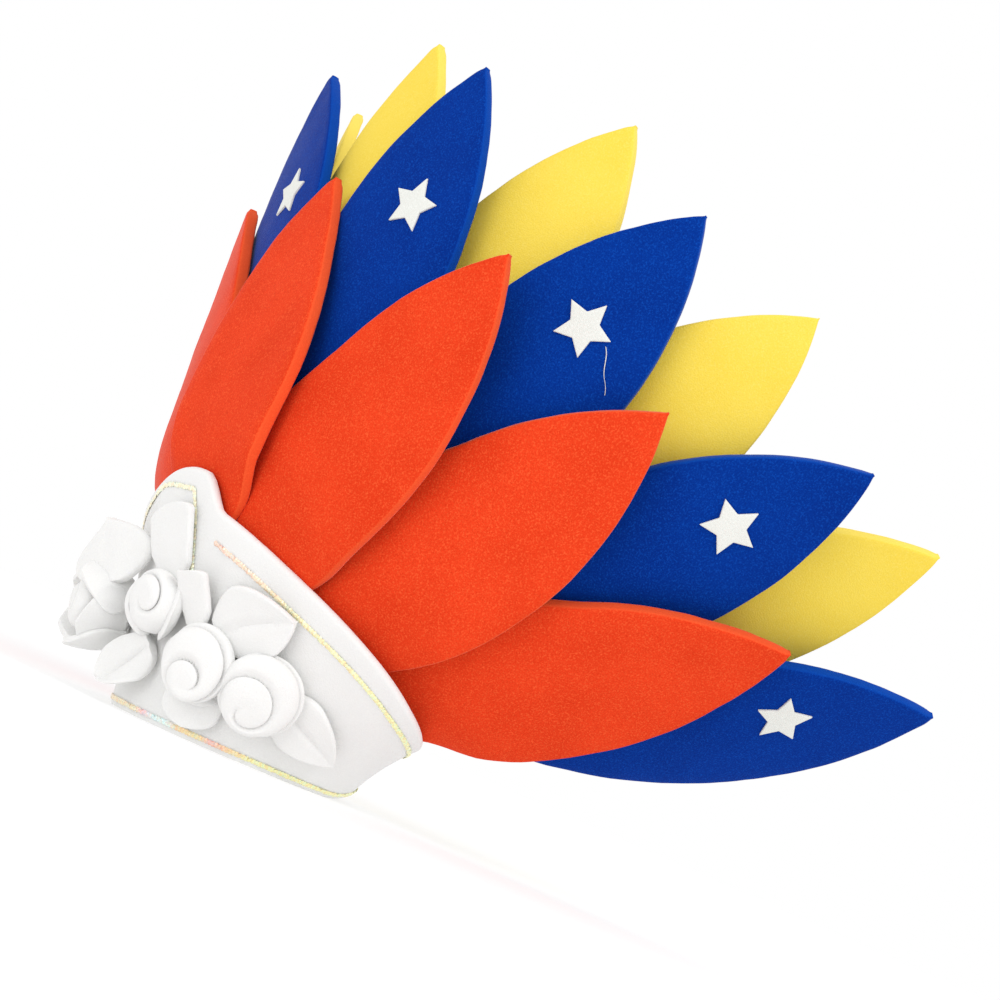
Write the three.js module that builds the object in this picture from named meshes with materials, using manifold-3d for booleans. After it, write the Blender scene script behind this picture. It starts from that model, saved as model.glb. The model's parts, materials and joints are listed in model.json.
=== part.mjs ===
// A carnival headdress cut from foam-rubber sheet: a white band that closes round the head, three
// fanned rows of feather shapes behind it (red in front, blue, then yellow), a white star on each
// blue feather, and white foam roses and leaves on the front of the band.
// Millimetres. +Z is up, and the wearer looks along -Y, so +X is the wearer's left.

import * as THREE from 'three';
import { mergeVertices } from 'three/addons/utils/BufferGeometryUtils.js';
import Module from 'manifold-3d';

const wasm = await Module();
wasm.setup();

const DEG = Math.PI / 180;

// ---------------------------------------------------------------- driving dimensions

const FOAM = 10; // thickness of the foam sheet that the feathers are cut from
const BAND_FOAM = 8; // thickness of the foam that the band is cut from
const GLUE = 0.4; // glue line left between two pieces
const SEAT = 0.8; // gap under the tapes and the leaves, which lie on the band's flat facets
const ROSE_SEAT = 1; // gap under a rose, whose base spans several facets
const TIP_HALF = 0.8; // half width of the cut end of every tip

// The lower edge of the band: half sizes of its outer outline, for a head about 56 cm round.
// It lies flat from the front to past the ears and lifts off towards the nape.
const RIM = { side: 90, front: 109, back: 98, lift: 12, liftFrom: 105 * DEG, liftTo: 160 * DEG };

// The upper edge of the band, an outline of its own in a plane that slopes down to the back. Its
// front corners are drawn in by a small share of their distance from the middle.
const CREST = { side: 166, front: 142, cornersIn: 0.05, back: 102, height: 87.5, slope: -0.53, nape: 58 };

// The peak over the forehead, and the lower swell that it stands on.
const PEAK = { rise: 20, at: 8 * DEG, flat: 5 * DEG, reach: 16 * DEG, brow: 3.5 };

const WALL_BOW = 4; // how far the wall of the band is hollowed between its two edges

// The feathers stand round a ring inside the upper part of the band. The fan's own axis leans
// back, the ring dips at the front, and neighbours are one step apart round the ring.
const FAN = {
  lean: 38 * DEG,
  height: 101.5,
  forward: -2,
  front: 132,
  side: 138,
  dip: 31.5,
  ringStep: 33.6 * DEG,
  aimStep: 32.4 * DEG,
};

// Every feather is the same leaf: two arcs that meet in a point.
const LEAF = { halfWidth: 65, widestFromTip: 176 };

// Its root is glued in behind the band: half width, length below the ring, how thin the foam is
// pressed there, the height where it is full again, the slope that follows the band down, how far
// it is drawn in towards the head, and the height where that ends.
const ROOT = { half: 16, length: 14, pressed: 0.6, fullFrom: 30, slope: 0.25, drawnIn: 10, freeFrom: 80 };

// ---------------------------------------------------------------- small helpers

const vec = (x, y, z) => new THREE.Vector3(x, y, z);

const { lerp, smoothstep } = THREE.MathUtils;

/** Sign of a feather's place: -1 on the wearer's right, 0 in the middle, 1 on the left. */
const sideOf = (place) => Math.sign(place);

/**
 * A closed mesh from sections, each a loop of the same number of points. Neighbouring sections are
 * joined by quads. An open run is closed at both ends by joining each point to its opposite one.
 */
function sweep(sections, isRing = false) {
  const count = sections[0].length;
  const corners = [];
  const quad = (a, b, c, d) => corners.push(a, b, c, a, c, d);
  const at = (i, j) => sections[i % sections.length][j % count];
  const steps = isRing ? sections.length : sections.length - 1;
  for (let i = 0; i < steps; i += 1) {
    for (let j = 0; j < count; j += 1) {
      quad(at(i, j), at(i, j + 1), at(i + 1, j + 1), at(i + 1, j));
    }
  }
  if (!isRing) {
    const end = sections.length - 1;
    for (let j = 0; j < count / 2 - 1; j += 1) {
      quad(at(0, count - 1 - j), at(0, count - 2 - j), at(0, j + 1), at(0, j));
      quad(at(end, j), at(end, j + 1), at(end, count - 2 - j), at(end, count - 1 - j));
    }
  }
  return closedGeometry(corners);
}

/** Merges equal corners and drops the triangles that have collapsed. */
function closedGeometry(corners) {
  const geometry = new THREE.BufferGeometry().setFromPoints(corners);
  const merged = mergeVertices(geometry, 1e-4);
  const index = Array.from(merged.index.array);
  const kept = [];
  for (let i = 0; i < index.length; i += 3) {
    const [a, b, c] = index.slice(i, i + 3);
    if (a !== b && b !== c && c !== a) kept.push(a, b, c);
  }
  merged.setIndex(kept);
  return turnedOutward(merged);
}

/** Flips a closed mesh whose triangles face inward. */
function turnedOutward(geometry) {
  const p = geometry.attributes.position;
  const index = Array.from(geometry.index.array);
  const [a, b, c] = [vec(0, 0, 0), vec(0, 0, 0), vec(0, 0, 0)];
  let volume = 0;
  for (let i = 0; i < index.length; i += 3) {
    a.fromBufferAttribute(p, index[i]);
    b.fromBufferAttribute(p, index[i + 1]);
    c.fromBufferAttribute(p, index[i + 2]);
    volume += a.dot(b.cross(c));
  }
  if (volume < 0) {
    for (let i = 0; i < index.length; i += 3) {
      [index[i], index[i + 1]] = [index[i + 1], index[i]];
    }
    geometry.setIndex(index);
  }
  geometry.computeVertexNormals();
  return geometry;
}

/** The solid of a closed geometry, for joining and cutting. */
function solidOf(geometry) {
  return new wasm.Manifold(
    new wasm.Mesh({
      numProp: 3,
      vertProperties: new Float32Array(geometry.attributes.position.array),
      triVerts: new Uint32Array(geometry.index.array),
    }),
  );
}

/**
 * A geometry with the shapes in `cutters` taken out of it, or itself where none meets it. Of what
 * is left only the largest part is kept, so no crumb stays on a cutter's far side.
 */
function cutBy(geometry, cutters) {
  let solid = solidOf(geometry);
  const meeting = cutters.map(solidOf).filter((cutter) => !solid.intersect(cutter).isEmpty());
  if (meeting.length === 0) return geometry;
  for (const cutter of meeting) solid = solid.subtract(cutter);
  const [largest] = solid.decompose().sort((a, b) => b.volume() - a.volume());
  const { vertProperties, triVerts } = largest.getMesh();
  const result = new THREE.BufferGeometry();
  result.setAttribute('position', new THREE.BufferAttribute(new Float32Array(vertProperties), 3));
  result.setIndex(Array.from(triVerts));
  result.computeVertexNormals();
  return result;
}

const headdress = new THREE.Group();

/** Adds one named piece with its own material. */
function addPiece(name, geometry, { color, roughness = 0.95, metalness = 0 }) {
  const material = new THREE.MeshStandardMaterial({ color, roughness, metalness });
  const mesh = new THREE.Mesh(geometry, material);
  mesh.name = name;
  headdress.add(mesh);
}

const FINISH = {
  white: { color: 0xf4f4f1 },
  red: { color: 0xf0401c },
  blue: { color: 0x0b49a4 },
  yellow: { color: 0xf7e05a },
  star: { color: 0xf2f3ee, roughness: 0.8 },
  trim: { color: 0xf0dc9a, roughness: 0.25, metalness: 0.3 },
};

// ---------------------------------------------------------------- the band's wall

/** A point on the rim, `turn` round from the forehead towards the wearer's left. */
function rimPoint(turn) {
  const depth = Math.cos(turn) > 0 ? RIM.front : RIM.back;
  const away = Math.abs(Math.atan2(Math.sin(turn), Math.cos(turn)));
  const z = RIM.lift * smoothstep(away, RIM.liftFrom, RIM.liftTo);
  return vec(RIM.side * Math.sin(turn), -depth * Math.cos(turn), z);
}

/** How much of the peak's rise there is at a turn, from 0 beside it to 1 at its top. */
function peakShare(turn) {
  const away = Math.abs(Math.atan2(Math.sin(turn - PEAK.at), Math.cos(turn - PEAK.at)));
  return 1 - smoothstep(away, PEAK.flat, PEAK.reach);
}

/** A point on the band's upper edge. The peak carries on in line with the wall below it. */
function crestPoint(turn) {
  const forward = Math.cos(turn);
  const corner = forward > 0 ? 1 - CREST.cornersIn * Math.sin(2 * turn) ** 2 : 1;
  const y = -(forward > 0 ? CREST.front : CREST.back) * forward * corner;
  const toBack = Math.max(0, y / CREST.back);
  const nape = CREST.height + CREST.slope * CREST.back;
  const plane = CREST.height + CREST.slope * y + (CREST.nape - nape) * toBack ** 2;
  const height = plane + PEAK.brow * Math.max(0, forward) ** 6;
  const peak = PEAK.rise * peakShare(turn);
  return rimPoint(turn).lerp(vec(CREST.side * Math.sin(turn) * corner, y, height), 1 + peak / height);
}

/** The band's outer surface: `rise` runs from 0 at the rim to 1 at the crest. */
function wallSurface(turn, rise) {
  const outward = vec(Math.sin(turn), -Math.cos(turn), 0);
  const hollow = -4 * WALL_BOW * rise * (1 - rise);
  return rimPoint(turn).lerp(crestPoint(turn), rise).addScaledVector(outward, hollow);
}

/** The two directions along the wall and the one out of it, with their lengths. */
function wallFrame(turn, rise) {
  const step = 1e-3;
  const around = wallSurface(turn + step, rise).sub(wallSurface(turn - step, rise));
  const up = wallSurface(turn, rise + step).sub(wallSurface(turn, rise - step));
  const out = around.clone().cross(up).normalize();
  const perTurn = around.length() / (2 * step);
  const perRise = up.length() / (2 * step);
  return { out, perTurn, perRise, up: up.normalize() };
}

/** A point `out` millimetres off the wall's outer surface. */
function offWall(turn, rise, out) {
  return wallSurface(turn, rise).addScaledVector(wallFrame(turn, rise).out, out);
}

/**
 * One section through the band: flat underneath, with a rounded upper edge. With `swell` both its
 * sides and its edge stand that much further out, for cutting what is glued against it.
 */
function bandSection(turn, swell = 0) {
  const round = BAND_FOAM / 2;
  const top = 1 - round / wallFrame(turn, 1).perRise;
  const levels = [0, 0.12, 0.3, 0.52, 0.75, top];
  const outside = levels.map((rise) => offWall(turn, rise, swell));
  const inside = levels.map((rise) => offWall(turn, rise, -BAND_FOAM - swell)).reverse();
  const foot = wallFrame(turn, 0).out;
  foot.z = 0;
  const footDepth = BAND_FOAM / foot.length();
  inside[inside.length - 1] = rimPoint(turn).addScaledVector(foot.normalize(), -footDepth);
  const frame = wallFrame(turn, top);
  const centre = offWall(turn, top, -round);
  const over = [45, 90, 135].map((angle) =>
    centre
      .clone()
      .addScaledVector(frame.out, (round + swell) * Math.cos(angle * DEG))
      .addScaledVector(frame.up, (round + swell) * Math.sin(angle * DEG)),
  );
  return [...outside, ...over, ...inside];
}

const BAND_STEPS = 60;
const ringTurns = Array.from({ length: BAND_STEPS }, (_, i) => (i / BAND_STEPS) * 2 * Math.PI);

const band = (swell = 0) => sweep(ringTurns.map((turn) => bandSection(turn, swell)), true);

addPiece('band', band(), FINISH.white);

// ---------------------------------------------------------------- the sequin tapes

const TAPE = { width: 4, thickness: 1.2 };

/** A narrow tape round the outside of the band, centred on `riseAt(turn)`. */
function tape(riseAt) {
  const sections = ringTurns.map((turn) => {
    const middle = riseAt(turn);
    const half = TAPE.width / 2 / wallFrame(turn, middle).perRise;
    const [low, high] = [SEAT, SEAT + TAPE.thickness];
    return [
      offWall(turn, middle - half, low),
      offWall(turn, middle - half, high),
      offWall(turn, middle + half, high),
      offWall(turn, middle + half, low),
    ];
  });
  return sweep(sections, true);
}

/** Distance of the upper tape below the crest: it comes closer at the peak and at the sides. */
const topTapeBelow = (turn) => lerp(15, 22, smoothstep(Math.cos(turn), -0.6, 0.8)) - 6 * peakShare(turn);
const BOTTOM_TAPE_ABOVE = 5.5;

addPiece(
  'trim_top',
  tape((turn) => 1 - topTapeBelow(turn) / wallFrame(turn, 1).perRise),
  FINISH.trim,
);
addPiece(
  'trim_bottom',
  tape((turn) => BOTTOM_TAPE_ABOVE / wallFrame(turn, 0).perRise),
  FINISH.trim,
);

// ---------------------------------------------------------------- roses and leaves on the band

// Place round the band, height on it, radius and how far it stands out.
const ROSES = {
  rose_front_right: { turn: -24, rise: 0.44, radius: 34, depth: 58 },
  rose_front_bud: { turn: 5.5, rise: 0.45, radius: 24, depth: 27 },
  rose_left_inner: { turn: 32, rise: 0.375, radius: 30, depth: 28 },
  rose_left_outer: { turn: 55.5, rise: 0.41, radius: 32.5, depth: 26 },
  rose_right_outer: { turn: -58, rise: 0.43, radius: 30, depth: 26 },
};

const ROSE_TURNS = 1.6; // how often the rolled strip goes round between the heart and the rim
const ROSE_LIP = 0.16; // height of the strip's lip, as a share of the rose's depth

/** Height of a rolled rose over its base, `r` from 0 at the heart to 1 at the rim. */
function roseHeight(r, angle) {
  const roll = angle / (2 * Math.PI) + ROSE_TURNS * r;
  const lip = ROSE_LIP * (1 - (roll - Math.floor(roll))) * Math.sin(Math.PI * Math.min(1, r + 0.1));
  return (1 - ROSE_LIP) * Math.sqrt(Math.max(0, 1 - r ** 2.4)) + lip;
}

/** A rolled rose on the wall, made `swell` larger all round when it is used to cut others. */
function rose({ turn, rise, radius, depth }, swell = 0) {
  const frame = wallFrame(turn * DEG, rise);
  const size = radius + swell;
  const spot = (r, angle, out) =>
    offWall(
      turn * DEG + (size * r * Math.cos(angle)) / frame.perTurn,
      rise + (size * r * Math.sin(angle)) / frame.perRise,
      out,
    );
  const rings = [0, 0.25, 0.5, 0.72, 0.9, 1];
  const sides = 20;
  const base = ROSE_SEAT - swell;
  const sections = Array.from({ length: sides }, (_, i) => {
    const angle = (i / sides) * 2 * Math.PI;
    const top = rings.map((r) => {
      const height = r === 0 ? 1 - ROSE_LIP : roseHeight(r, angle);
      const rim = r === 1 ? 0.12 : Math.max(0.12, height);
      return spot(r, angle, ROSE_SEAT + rim * depth + swell);
    });
    return [...top, spot(1, angle, base), spot(0.5, angle, base), spot(0, angle, base)];
  });
  return sweep(sections, true);
}

// Where the stalk end sits, the way the leaf points (0 is up the wall, 90 towards the wearer's
// left), its length and half width, how blunt its tip is (0 pointed, 1 round, 2 square), the height
// of its underside at the stalk end, how far its tip lifts, and any slant out of the wall.
const LEAVES = {
  leaf_peak: { turn: 8, rise: 0.56, points: -18, length: 57, half: 22, blunt: 2, off: 0, lift: 2 },
  leaf_upright: { turn: 24.5, rise: 0.5, points: -19, length: 45, half: 12, blunt: 2, off: 3, lift: 8 },
  leaf_left_high: { turn: 32, rise: 0.54, points: 43, length: 67, half: 27, blunt: 0.3, off: 0, lift: 3 },
  leaf_left_low: { turn: 61, rise: 0.42, points: 100, length: 63, half: 25, blunt: 0.3, off: 0, lift: 3 },
  petal_left_inner: { turn: 35, rise: 0.33, points: 176, length: 41, half: 22, blunt: 1, off: 0, lift: 2 },
  leaf_front_high: {
    turn: -15, rise: 0.52, points: -14, length: 57, half: 24, blunt: 0.3, off: 21, lift: 4, slant: 0.8,
  },
  leaf_front_low: { turn: 9, rise: 0.3, points: 217, length: 47, half: 21, blunt: 0.5, off: 3, lift: 11 },
  leaf_right_low: { turn: -63, rise: 0.4, points: 262, length: 60, half: 24, blunt: 0.3, off: 0, lift: 3 },
};
const LEAF_FOAM = 6; // the leaves are cut from a thinner sheet

/** Half width of a small leaf, `t` from 0 at the stalk end to 1 at the tip. */
function smallLeafHalf({ half, blunt }, t) {
  const pointed = Math.sin(Math.PI * Math.min(1, 0.12 + 0.88 * t ** 0.85));
  const roundFrom = lerp(0.62, 0.92, Math.max(0, blunt - 1));
  const round = Math.sqrt(Math.max(0, 1 - Math.max(0, (t - roundFrom) / (1 - roundFrom)) ** 2));
  const full = Math.min(1, 0.55 + 1.2 * t) * round;
  return Math.max(TIP_HALF, half * lerp(pointed, full, Math.min(1, blunt)));
}

/** A leaf cut from thin foam that lies on the wall and lifts towards its tip. */
function smallLeaf(leaf, swell = 0) {
  const { turn, rise, points, length, off, lift, slant = 0 } = leaf;
  const frame = wallFrame(turn * DEG, rise);
  const heading = points * DEG;
  const spot = (along, across, out) => {
    const right = along * Math.sin(heading) + across * Math.cos(heading);
    const up = along * Math.cos(heading) - across * Math.sin(heading);
    return offWall(turn * DEG + right / frame.perTurn, rise + up / frame.perRise, out - slant * across);
  };
  const stations = [0, 0.14, 0.3, 0.48, 0.66, 0.82, 0.93, 1];
  const across = [-1, -0.5, 0, 0.5, 1];
  const sections = stations.map((t) => {
    const half = smallLeafHalf(leaf, t) + swell;
    const under = SEAT + off + lift * t ** 1.6 - swell;
    const crown = (w) => 1.6 * (1 - w * w);
    const top = across.map((w) => spot(t * length, w * half, under + LEAF_FOAM + 2 * swell + crown(w)));
    const bottom = across.map((w) => spot(t * length, w * half, under)).reverse();
    return [...top, ...bottom];
  });
  return sweep(sections);
}

// The roses press against each other and the leaves are tucked under them, so each piece gives
// way to the ones before it.
const laid = [];
for (const [name, item] of Object.entries(ROSES)) {
  addPiece(name, cutBy(rose(item), laid), FINISH.white);
  laid.push(rose(item, GLUE));
}
for (const [name, leaf] of Object.entries(LEAVES)) {
  addPiece(name, cutBy(smallLeaf(leaf), laid), FINISH.white);
  laid.push(smallLeaf(leaf, GLUE));
}

// ---------------------------------------------------------------- the feathers

// The fan's own frame has x to the forehead, y to the wearer's left and z along its axis.
const fanToHead = new THREE.Matrix4().set(
  0, 1, 0, 0,
  -Math.cos(FAN.lean), 0, Math.sin(FAN.lean), -FAN.forward,
  Math.sin(FAN.lean), 0, Math.cos(FAN.lean), FAN.height,
  0, 0, 0, 1,
);

// One row behind the other: which places it fills, how far it flares from the fan's axis, its
// length from the ring to the tip, and how far its middle lies outside the ring.
const ROWS = {
  red: { places: [0, -1, 1, -2, 2, -3, 3], flare: 39.6, reach: 280, out: 12.5 },
  blue: { places: [-0.5, 0.5, -1.5, 1.5, -2.5, 2.5, -3.5, 3.5], flare: 38.4, reach: 384, out: 0 },
  yellow: { places: [0, -1, 1, -2, 2, -3, 3], flare: 35.2, reach: 407, out: -12 },
};

// No two feathers are glued quite alike. swing turns one round the fan's axis, lift tips it
// outward, stretch adds to its reach, lean turns it in its own plane, and bow bends it out.
const QUIRKS = [
  { row: 'red', place: -1, swing: 5, lift: -4.6, stretch: 3, lean: -3.8, bow: 7.5 },
  { row: 'red', place: 0, swing: -2.4, lift: -1, stretch: -4, lean: 0.3, bow: -17 },
  { row: 'red', place: 1, swing: -0.3, lift: 0, stretch: -1, lean: 4.5, bow: 6 },
  { row: 'red', place: 2, swing: 1, lift: -0.7, stretch: -1, lean: -2.7, bow: -7.5 },
  { row: 'red', place: 3, swing: 5.2, lift: -0.2, stretch: 3, lean: -2.6, bow: 12 },
  { row: 'blue', place: -0.5, swing: 2.5, lift: -1.9, stretch: 2, lean: 0, bow: 4.5 },
  { row: 'blue', place: 0.5, swing: -0.4, lift: -1.5, stretch: 5, lean: -2, bow: 2 },
  { row: 'blue', place: 1.5, swing: 0, lift: -3.1, stretch: 4, lean: -1.8, bow: -1.5 },
  { row: 'blue', place: 2.5, swing: 2.1, lift: -2.6, stretch: -5, lean: -1.2, bow: 9.5 },
  { row: 'blue', place: 3.5, swing: -5.3, lift: 4.7, stretch: 2, lean: 4.1, bow: -7 },
  { row: 'yellow', place: 0, swing: 0.5, lift: 1, stretch: 2, lean: 0, bow: 0 },
  { row: 'yellow', place: 1, swing: 2.1, lift: -0.4, stretch: 3, lean: -2.4, bow: -8.5 },
  { row: 'yellow', place: 2, swing: 0.3, lift: -1.5, stretch: -4, lean: -1.4, bow: -1 },
  { row: 'yellow', place: 3, swing: -0.4, lift: 0.2, stretch: 0, lean: -0.4, bow: -0.5 },
];

const SHINGLE = 0.11; // slope across a red feather, so that its inner edge lies under the next
const SHINGLE_RISE = 4.5; // how far the red row steps out where its feathers overlap
const OVERLAP_FROM = 50; // distance above the ring where the red feathers start to overlap
const TUCK = 6; // how far a red feather's hidden edge goes under its neighbour

/** Half width of the leaf at a distance from its tip. */
function leafHalf(fromTip) {
  const { halfWidth, widestFromTip } = LEAF;
  const radius = (widestFromTip ** 2 + halfWidth ** 2) / (2 * halfWidth);
  const past = fromTip - widestFromTip;
  const arc = Math.sqrt(Math.max(0, radius ** 2 - past ** 2)) - (radius - halfWidth);
  return Math.max(arc, past > 0 ? ROOT.half : TIP_HALF);
}

/** The sheet of one feather: its reach and a function that places a point of it. */
function featherSheet(row, place) {
  const { flare, reach, out } = ROWS[row];
  const ownQuirk = (at) => QUIRKS.find((q) => q.row === row && q.place === at);
  const quirk = ownQuirk(place) ?? ownQuirk(-place);
  const side = sideOf(place);
  const turn = place * FAN.ringStep;
  const aim = place * FAN.aimStep + (side || 1) * quirk.swing * DEG;
  const tip = (flare + quirk.lift) * DEG;
  const lean = (side || 1) * quirk.lean * DEG;
  const length = reach + quirk.stretch;

  const outward = vec(Math.cos(aim), Math.sin(aim), 0);
  const axis = vec(0, 0, 1);
  const straightUp = axis.clone().multiplyScalar(Math.cos(tip)).addScaledVector(outward, Math.sin(tip));
  const straightAcross = vec(-Math.sin(aim), Math.cos(aim), 0);
  const face = outward.clone().multiplyScalar(Math.cos(tip)).addScaledVector(axis, -Math.sin(tip));
  const along = straightUp
    .clone()
    .multiplyScalar(Math.cos(lean))
    .addScaledVector(straightAcross, Math.sin(lean));
  const across = straightAcross
    .clone()
    .multiplyScalar(Math.cos(lean))
    .addScaledVector(straightUp, -Math.sin(lean));
  const foot = vec(
    FAN.front * Math.cos(turn),
    FAN.side * Math.sin(turn),
    -FAN.dip * Math.cos(turn),
  );
  const ringRadius = (FAN.front + FAN.side) / 2;

  const at = (s, w, h) => {
    const up = Math.max(0, s);
    const share = up / length;
    const overlap = smoothstep(up, 0, OVERLAP_FROM);
    const curvature = Math.cos(tip) / (ringRadius + up * Math.sin(tip));
    let cup = 1 - 0.5 * share;
    let middle = out + quirk.bow * (up / 300) ** 2;
    if (row === 'red') {
      middle += SHINGLE_RISE * overlap;
      cup = place === 0 ? 1 - overlap : 1 - 0.4 * share;
      const fade = 1 - 0.6 * smoothstep(up, 150, length);
      middle += side * SHINGLE * overlap * fade * w;
    }
    middle -= (cup * curvature * w * w) / 2 + ROOT.slope * Math.max(0, -s);
    middle -= ROOT.drawnIn * (1 - smoothstep(up, 0, ROOT.freeFrom));
    return foot
      .clone()
      .addScaledVector(along, s)
      .addScaledVector(across, w)
      .addScaledVector(face, middle + h)
      .applyMatrix4(fanToHead);
  };
  return { at, length, foot, across };
}

/** The two edges of a feather at a distance above the ring: [towards -X, towards +X]. */
function featherEdges(row, place) {
  const { length } = featherSheet(row, place);
  const half = (s) => leafHalf(length - s);
  if (row !== 'red' || place === 0) return (s) => [-half(s), half(s)];
  // The hidden edge of a red feather stops just under the one that overlaps it.
  const side = sideOf(place);
  const sheet = featherSheet(row, place);
  const neighbour = featherSheet(row, place - side);
  const headToSheet = fanToHead.clone().invert();
  return (s) => {
    const cover = neighbour.at(s, side * leafHalf(neighbour.length - s), 0);
    const under = cover.applyMatrix4(headToSheet).sub(sheet.foot).dot(sheet.across);
    const tuck = lerp(-1.5, TUCK, smoothstep(s, OVERLAP_FROM, OVERLAP_FROM + 40));
    const hidden = Math.max(side * under - tuck, -half(s));
    return side > 0 ? [hidden, half(s)] : [-half(s), -hidden];
  };
}

/** One feather as a closed, gently curved sheet of foam, `swell` thicker all round for cutting. */
function feather(row, place, swell = 0) {
  const { at, length } = featherSheet(row, place);
  const edges = featherEdges(row, place);
  const stations = row === 'red' ? 10 : 12;
  const across = [0, 0.25, 0.5, 0.75, 1];
  const levels = Array.from({ length: stations + 1 }, (_, i) => lerp(-ROOT.length, length, i / stations));
  if (swell > 0) {
    levels.unshift(-ROOT.length - swell);
    levels.push(length + swell);
  }
  const sections = levels.map((s) => {
    const [left, right] = [edges(s)[0] - swell, edges(s)[1] + swell];
    const pressed = lerp(ROOT.pressed, 1, smoothstep(s, 0, ROOT.fullFrom));
    const half = (FOAM / 2) * pressed + swell;
    const top = across.map((t) => at(s, lerp(left, right, t), half));
    const bottom = across.map((t) => at(s, lerp(left, right, t), -half)).reverse();
    return [...top, ...bottom];
  });
  return sweep(sections);
}

// Names count from the middle outward, on the wearer's left and on the right.
const featherName = (row, place) => {
  if (place === 0) return `${row}_middle`;
  return `${row}_${place > 0 ? 'left' : 'right'}_${Math.ceil(Math.abs(place))}`;
};

// Near the ring each row is trimmed to what it is glued against: the band, or the row in front.
const inFront = {
  red: (place) => [band(GLUE), ...overlapping(place)],
  blue: (place) => [band(GLUE), ...beside('red', place)],
  yellow: (place) => beside('blue', place),
};

/** The red feather that lies over this one. */
function overlapping(place) {
  return place === 0 ? [] : [feather('red', place - sideOf(place), GLUE)];
}

/** The feathers of a row half a step to either side of a place. */
function beside(row, place) {
  const near = ROWS[row].places.filter((other) => Math.abs(other - place) === 0.5);
  return near.map((other) => feather(row, other, GLUE));
}

for (const [row, { places }] of Object.entries(ROWS)) {
  for (const place of places) {
    const shape = cutBy(feather(row, place), inFront[row](place));
    addPiece(featherName(row, place), shape, FINISH[row]);
  }
}

// ---------------------------------------------------------------- the stars

const STAR = { centre: 272, outer: 22.3, inner: 11.2, thickness: 1.6, off: 1 };

// How far each star sits off its feather's middle line, and how far it is turned, in degrees.
const STARS = [
  { place: -3.5, across: 5, turn: 4 },
  { place: -2.5, across: 2, turn: 9 },
  { place: -1.5, across: -3, turn: -3 },
  { place: -0.5, across: 9, turn: 5 },
  { place: 0.5, across: 6.4, turn: 1.4 },
  { place: 1.5, across: 0, turn: 0 },
  { place: 2.5, across: -2.3, turn: -6.9 },
  { place: 3.5, across: -7.8, turn: -5.4 },
];

/** A flat five-pointed star that lies on the face of a blue feather. */
function star({ place, across, turn }) {
  const { at } = featherSheet('blue', place);
  const points = 10;
  const low = FOAM / 2 + STAR.off;
  const high = low + STAR.thickness;
  const spot = (radius, angle, h) =>
    at(STAR.centre + radius * Math.cos(angle), across + radius * Math.sin(angle), h);
  const sections = Array.from({ length: points }, (_, i) => {
    const angle = (i / points) * 2 * Math.PI + turn * DEG;
    const radius = i % 2 === 0 ? STAR.outer : STAR.inner;
    return [spot(0, 0, high), spot(radius, angle, high), spot(radius, angle, low), spot(0, 0, low)];
  });
  return sweep(sections, true);
}

for (const item of STARS) {
  addPiece(featherName('star', item.place), star(item), FINISH.star);
}

// ---------------------------------------------------------------- standing it on the rim

// The origin is under the middle of the whole, on the surface that the rim stands on.
const bounds = new THREE.Box3().setFromObject(headdress);
const middle = bounds.getCenter(vec(0, 0, 0));
headdress.position.set(-middle.x, -middle.y, -bounds.min.z);

export default headdress;
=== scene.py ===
"""A carnival headdress of foam rubber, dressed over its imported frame, in metres.

A white band closes round the head. Behind it stand three fanned rows of feather shapes cut from
foam sheet, and in front of it white rolled roses and leaves are glued on.
"""

import json
import math

import bmesh
import bpy
import numpy as np
from mathutils import Matrix, Vector, noise


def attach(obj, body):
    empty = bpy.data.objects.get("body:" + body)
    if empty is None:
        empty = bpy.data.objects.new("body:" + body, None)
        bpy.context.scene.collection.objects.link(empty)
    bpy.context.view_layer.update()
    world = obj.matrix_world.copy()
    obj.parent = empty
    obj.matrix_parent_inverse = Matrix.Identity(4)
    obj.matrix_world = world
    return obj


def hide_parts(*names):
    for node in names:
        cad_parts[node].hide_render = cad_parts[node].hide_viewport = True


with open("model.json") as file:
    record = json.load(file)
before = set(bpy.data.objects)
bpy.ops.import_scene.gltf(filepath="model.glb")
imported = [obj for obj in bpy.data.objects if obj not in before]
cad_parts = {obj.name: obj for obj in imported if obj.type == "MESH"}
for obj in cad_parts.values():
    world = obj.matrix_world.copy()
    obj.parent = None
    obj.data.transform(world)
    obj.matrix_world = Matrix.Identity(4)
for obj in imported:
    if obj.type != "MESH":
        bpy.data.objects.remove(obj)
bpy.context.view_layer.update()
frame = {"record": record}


# ---------------------------------------------------------------- the band
# A closed ring of white foam rubber, 8 mm thick, low at the nape and high over the forehead,
# where it rises to a small peak. It flares outward, its wall is slightly hollow and its upper
# edge is rounded over. Everything else is glued to it.

BAND_FOAM = 0.008
RIM_SIDE, RIM_FRONT, RIM_BACK = 0.090, 0.109, 0.098
RIM_LIFT, LIFT_FROM, LIFT_TO = 0.012, math.radians(105), math.radians(160)
CREST_SIDE, CREST_FRONT, CREST_BACK, CORNERS_IN = 0.166, 0.142, 0.102, 0.05
CREST_HEIGHT, CREST_SLOPE, NAPE_HEIGHT = 0.0875, -0.53, 0.058
PEAK_RISE, PEAK_BROW = 0.020, 0.0035
PEAK_AT = math.radians(6)
# How far from its middle the peak starts and stops falling, on the wearer's left and right.
PEAK_LEFT_SIDE, PEAK_RIGHT_SIDE = np.radians([1.5, 11.5]), np.radians([0, 34])
WALL_BOW = 0.004
BROAD_WAVES, FINE_WAVES, FINE_SHARE = 28, 85, 0.4
WELD_WITHIN, SHARP_FROM = 1e-5, math.radians(50)
FRAME_STEP = 1e-3

rim_centre = next(
    np.array(mount["pos_m"])
    for mount in frame["record"]["mounts"]
    if mount["name"] == "head_opening"
)


def ease(x, start, end):
    """0 before start, 1 after end, and a smooth rise between them."""
    t = np.clip((x - start) / (end - start), 0, 1)
    return t * t * (3 - 2 * t)


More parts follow.
